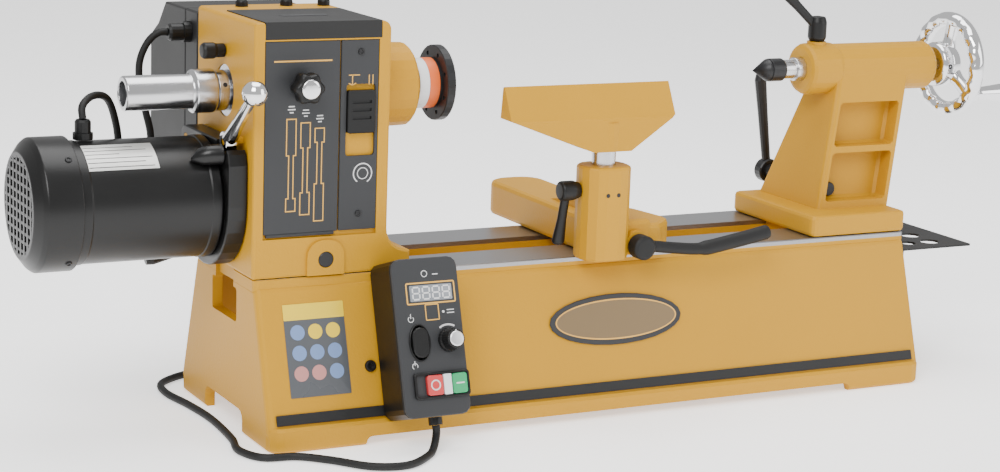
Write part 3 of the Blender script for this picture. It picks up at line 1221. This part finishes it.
def handwheel():
    """The quill's handwheel: a rim, three spokes and a hub."""
    hub_start = BARREL_END + 8 * MM
    axis = (0, SPINDLE_Z)
    hub = turned("handwheel", "x", axis, [(5.3 * MM, hub_start), (22 * MM, hub_start), (26 * MM, hub_start + 4 * MM),
                 (26 * MM, WHEEL_X - 8 * MM), (20 * MM, WHEEL_X + 4 * MM), (16 * MM, WHEEL_X + 6 * MM),
                 (5.3 * MM, WHEEL_X + 6 * MM)], 24, bored=True)
    middle = WHEEL_RADIUS - 8 * MM
    profile = [(middle + 8 * MM * math.cos(math.radians(a)), WHEEL_X + 9 * MM * math.sin(math.radians(a)))
               for a in range(0, 360, 45)]
    rim = turned("handwheel rim", "x", axis, profile, 32, bored=True)
    parts = [rim]
    first = math.atan2(HANDLE_AT[1] - SPINDLE_Z, HANDLE_AT[0])
    for i in range(3):
        turn = first + math.tau * i / 3
        across = Vector((0, math.cos(turn), math.sin(turn)))
        centre = Vector((WHEEL_X - 4 * MM, 0, SPINDLE_Z))
        ends = [centre + across * 16 * MM, centre + across * 34 * MM + Vector((2 * MM, 0, 0)),
                centre + across * 52 * MM + Vector((4 * MM, 0, 0))]
        parts.append(bar(f"handwheel spoke {i}", ends, [8 * MM, 6.5 * MM, 6.5 * MM], 8))
    boss = rod("handwheel handle boss", "x", HANDLE_AT, 8 * MM, WHEEL_X - 6 * MM, WHEEL_X + 10 * MM, 16)
    join(hub, *parts, boss)
    return cut(hub, rod("handwheel handle bore", "x", HANDLE_AT, 3.5 * MM + GAP, WHEEL_X - 4 * MM,
                        WHEEL_X + 20 * MM, 12))


def wheel_handle():
    """The turning grip on the handwheel."""
    start = WHEEL_X + 10 * MM + GAP
    profile = [(0, WHEEL_X - 3 * MM), (3.5 * MM, WHEEL_X - 3 * MM), (3.5 * MM, start), (7 * MM, start),
               (7.5 * MM, start + 3 * MM), (9 * MM, start + 18 * MM), (10.5 * MM, start + 36 * MM),
               (10 * MM, start + 44 * MM), (7 * MM, start + 49 * MM), (0, start + 50 * MM)]
    return turned("wheel_handle", "x", HANDLE_AT, profile, 18)


CENTRE_LEFT = QUILL_FRONT - 33 * MM


def live_centre_body():
    """The live centre's housing and the taper that seats in the quill."""
    front, back = CENTRE_LEFT, QUILL_FRONT - GAP
    profile = [(0, front + 26 * MM), (5 * MM, front + 26 * MM), (5 * MM, front), (10 * MM, front),
               (13 * MM, front + 3 * MM), (13.8 * MM, front + 4 * MM), (13.8 * MM, back - 2 * MM),
               (12 * MM, back), (9 * MM, back), (7.6 * MM, back + 58 * MM), (0, back + 58 * MM)]
    return turned("live_centre_body", "x", (0, SPINDLE_Z), profile, 20)


def live_centre_point():
    """The turning cone of the live centre."""
    front = CENTRE_LEFT
    profile = [(0, front - 21 * MM), (9.2 * MM, front - 4 * MM), (9.2 * MM, front - GAP), (4.7 * MM, front - GAP),
               (4.7 * MM, front + 24 * MM), (0, front + 24 * MM)]
    return turned("live_centre_point", "x", (0, SPINDLE_Z), profile, 20)


def quill_lock_lever():
    low = SPINDLE_Z + 31 * MM + GAP
    tip = SPINDLE_Z + QUILL_RADIUS + 2 * GAP
    profile = [(0, tip), (5 * MM, tip), (5 * MM, low), (10.5 * MM, low), (10.5 * MM, low + 24 * MM),
               (8 * MM, low + 29 * MM), (0, low + 29 * MM)]
    hub = turned("quill_lock_lever", "z", (QUILL_LOCK_X, 0), profile, 20)
    start = Vector((QUILL_LOCK_X - 5 * MM, 0, low + 19 * MM))
    end = Vector((QUILL_LOCK_X - 52 * MM, 0, low + 62 * MM))
    arm = bar("quill lock arm", [start, start.lerp(end, 0.5), start.lerp(end, 0.94), end],
              [5 * MM, 5.5 * MM, 7 * MM, 5 * MM], 14)
    return join(hub, arm)


# Leads

MOTOR_LEAD_RADIUS = 3.8 * MM


def motor_lead():
    """The motor's lead, held at both ends, with a free bend between."""
    start = Vector((MOTOR_GLAND_X, MOTOR_GLAND_Y, MOTOR_Z + MOTOR_RADIUS + 20 * MM + 2 * GAP))
    end = Vector((HEAD_LEFT - 24 * MM - 2 * GAP, MOTOR_LEAD_GLAND[0], MOTOR_LEAD_GLAND[1]))
    route = [start, start + Vector((0, 3, 10)) * MM]
    route += [Vector(p) * MM for p in [(-525, 27, 337), (-500, 55, 330), (-484, 75, 300), (-475, 85, 252),
                                       (-460, 95, 222), (-443, 101, 240), (-438, 103, 281), (-443, 105, 308),
                                       (-449, 107, 340), (-448, 107, 362), (-438, 106, 382)]]
    route += [end + Vector((-8, 0, 0)) * MM, end]
    return cord("motor_lead", route, MOTOR_LEAD_RADIUS)


def control_cord():
    """The control box's cord: down to the bench, round the bed's foot and up to the drive's housing."""
    wall = on_wall(BOX_X, BOX_Z)
    down = Vector((0, -math.sin(WALL_ANGLE), -math.cos(WALL_ANGLE)))
    out = Vector((0, -math.cos(WALL_ANGLE), math.sin(WALL_ANGLE)))
    start = wall + Vector((BOX_GLAND_AT[0], 0, 0)) + out * BOX_GLAND_AT[1] + down * (-BOX_LOW + 8 * MM + 2 * GAP)
    route = [start, start + down * 6 * MM]
    route += [(x * MM, y * MM, CORD_RADIUS) for x, y in [(-249, -194), (-285, -220), (-318, -213), (-350, -178),
                                                         (-376, -156), (-408, -148), (-421, -118),
                                                         (-414, -80), (-409, -3), (-413, 51), (-420, 104),
                                                         (-414, 137), (-392, 158), (-362, 172)]]
    route += [Vector(p) * MM for p in [(-330, 182, 12), (-309, 194, 24), (-302, 200, 80), (-301, 201, 130)]]
    route += [(CORD_GLAND[0], CORD_GLAND[1], BOX_BOTTOM - 26 * MM), (CORD_GLAND[0], CORD_GLAND[1],
              BOX_BOTTOM - 16 * MM - GAP)]
    return cord("control_cord", route, CORD_RADIUS)


# The whole machine

BOX_X, BOX_Z = -236 * MM, 96.5 * MM
BADGE_X, BADGE_Z = 8 * MM, 98.5 * MM
STRIP_Z = 31.5 * MM


def wall_frame(name, x, z, parent):
    """An empty on the front wall: its x to the right, y up the slope, z out of the wall."""
    empty = bpy.data.objects.new(name, None)
    bpy.context.scene.collection.objects.link(empty)
    empty.parent = parent
    empty.location = on_wall(x, z)
    empty.rotation_euler = (math.pi / 2 - WALL_ANGLE, 0, 0)
    PIVOTS[name] = Vector((0, 0, 0))
    return empty


def stand_at_centre(root):
    """Moves the machine so that the frame's origin is under the middle of its box, leads left out."""
    bpy.context.view_layer.update()
    graph = bpy.context.evaluated_depsgraph_get()
    low = Vector((math.inf,) * 3)
    high = Vector((-math.inf,) * 3)
    for obj in bpy.context.scene.objects:
        if obj.type != "MESH" or obj.hide_render:
            continue
        whole = obj.evaluated_get(graph)
        for vertex in whole.data.vertices:
            spot = whole.matrix_world @ vertex.co
            low = Vector(map(min, low, spot))
            high = Vector(map(max, high, spot))
    root.location = (-(low.x + high.x) / 2, -(low.y + high.y) / 2, -low.z)


def main():
    for old in list(bpy.data.objects):
        bpy.data.objects.remove(old, do_unlink=True)

    root = bpy.data.objects.new("lathe", None)
    bpy.context.scene.collection.objects.link(root)
    PIVOTS["lathe"] = Vector((0, 0, 0))

    attach(root, bed_casting(), tool_shelf())
    attach(wall_frame("strip_frame", 0, STRIP_Z, root), trim_strip())
    attach(wall_frame("badge_frame", BADGE_X, BADGE_Z, root), oval_badge())

    wall = wall_frame("control_box_frame", BOX_X, BOX_Z, root)
    attach(wall, control_box(), control_face(), box_gland())
    attach(joint("rocker_axis", (*ROCKER_AT, BOX_FACE - 6 * MM), wall), direction_switch())
    attach(joint("speed_axis", (*KNOB_AT, BOX_FACE), wall), speed_knob())
    buttons = (BUTTON_LOW + BUTTON_HIGH) / 2
    attach(joint("stop_axis", (sum(STOP_SPAN) / 2, buttons, BOX_FACE), wall), push_button("stop_button", STOP_SPAN))
    attach(joint("start_axis", (sum(START_SPAN) / 2, buttons, BOX_FACE), wall),
           push_button("start_button", START_SPAN))
    attach(root, control_cord())

    head = joint("headstock_slide", (HEAD_LEFT, 0, WAY_HEIGHT), root)
    attach(head, headstock_casting(), top_cover(), lock_panel(), electronics_box(), electronics_cover(),
           mains_inlet(), bearing("front_bearing", BELL_END - 4 * MM - BEARING_WIDTH),
           bearing("rear_bearing", HEAD_LEFT + 1 * MM), drive_belt(), motor_lead())
    attach(head, gland("motor_lead_gland", "x", MOTOR_LEAD_GLAND, HEAD_LEFT - GAP, HEAD_LEFT - 24 * MM,
                       11 * MM, MOTOR_LEAD_RADIUS + GAP))
    attach(head, gland("control_cord_gland", "z", CORD_GLAND, BOX_BOTTOM - GAP, BOX_BOTTOM - 16 * MM,
                       9 * MM, CORD_RADIUS + GAP))
    attach(head, clamp_plate("headstock_clamp_plate", CLAMP_X, CLAMP_Z))
    attach(joint("headstock_clamp", (CLAMP_X, HEAD_BACK, CLAMP_Z), head),
           rear_lever("headstock_clamp_lever", CLAMP_X, CLAMP_Z, HEAD_FRONT - 4 * MM, (-445 * MM, 151 * MM)))
    attach(joint("spindle_lock", (SLIDER_LEFT, HEAD_FRONT, SLIDER_TOP), head), spindle_lock_slider())
    attach(joint("index_pin", (HEAD_LEFT, 0, PLUNGER_Z), head), index_plunger())
    door = joint("door_hinge", (DOOR_LEFT, *DOOR_HINGE), head)
    attach(door, belt_door())
    attach(joint("door_latch", (DOOR_KNOB_AT[0], HEAD_FRONT, DOOR_KNOB_AT[1]), door), door_knob())
    attach(joint("spindle_axis", (HEAD_LEFT, 0, SPINDLE_Z), head), spindle(), outboard_sleeve(), bearing_nut(),
           spindle_pulley(), faceplate())
    attach(joint("tension_axis", (HEAD_LEFT, *TENSION_AT), head), tension_lever())
    motor = joint("motor_tilt", (MOUNT_RIGHT, *MOUNT_PIVOT), head)
    gland_low = MOTOR_Z + MOTOR_RADIUS + GAP
    attach(motor, motor_mount(), motor_body(), motor_fan_cover(),
           gland("motor_gland", "z", (MOTOR_GLAND_X, MOTOR_GLAND_Y), gland_low, gland_low + 20 * MM - GAP, 10 * MM,
                 MOTOR_LEAD_RADIUS + GAP))
    attach(joint("rotor_axis", (MOTOR_RIGHT, 0, MOTOR_Z), motor), motor_shaft(), motor_pulley(), cooling_fan())

    banjo_plate = joint("banjo_slide_x", (BANJO_X, 0, WAY_HEIGHT), root)
    attach(banjo_plate, banjo_clamp_plate())
    swivel = joint("banjo_swivel", (BANJO_X, 0, WAY_HEIGHT), banjo_plate)
    attach(swivel, banjo_cam_block())
    banjo = joint("banjo_slide_y", (BANJO_X, 0, WAY_HEIGHT), swivel)
    attach(banjo, banjo_casting())
    attach(joint("banjo_cam", (BANJO_X, COLUMN_FRONT, CAM_Z), banjo), banjo_cam_lever())
    attach(joint("post_lock", (COLUMN_LEFT, POST_Y, LOCK_Z), banjo), post_lock_lever())
    post = joint("post_height", (POST_X, POST_Y, COLUMN_TOP), banjo)
    attach(post, tool_rest_post())
    attach(joint("rest_turn", (POST_X, POST_Y, SOCKET_LOW), post), tool_rest())

    tail = joint("tailstock_slide", (TAIL_LEFT, 0, WAY_HEIGHT), root)
    attach(tail, tailstock_casting(), clamp_plate("tailstock_clamp_plate", *TAIL_CLAMP))
    attach(joint("tailstock_clamp", (TAIL_CLAMP[0], 0, TAIL_CLAMP[1]), tail),
           rear_lever("tailstock_clamp_lever", *TAIL_CLAMP, -30 * MM, (308 * MM, 323 * MM)))
    attach(joint("wheel_axis", (WHEEL_X, 0, SPINDLE_Z), tail), quill_screw(), handwheel())
    attach(joint("handle_axis", (WHEEL_X, *HANDLE_AT), bpy.data.objects["wheel_axis"]), wheel_handle())
    ram = joint("quill_travel", (QUILL_FRONT, 0, SPINDLE_Z), tail)
    attach(ram, quill(), live_centre_body())
    attach(joint("centre_axis", (CENTRE_LEFT, 0, SPINDLE_Z), ram), live_centre_point())
    attach(joint("quill_lock", (QUILL_LOCK_X, 0, SPINDLE_Z + 31 * MM), tail), quill_lock_lever())
    stand_at_centre(root)
    for finish_name, names in WEARS.items():
        painted(finish_name, *[bpy.data.objects[name] for name in names])


main()
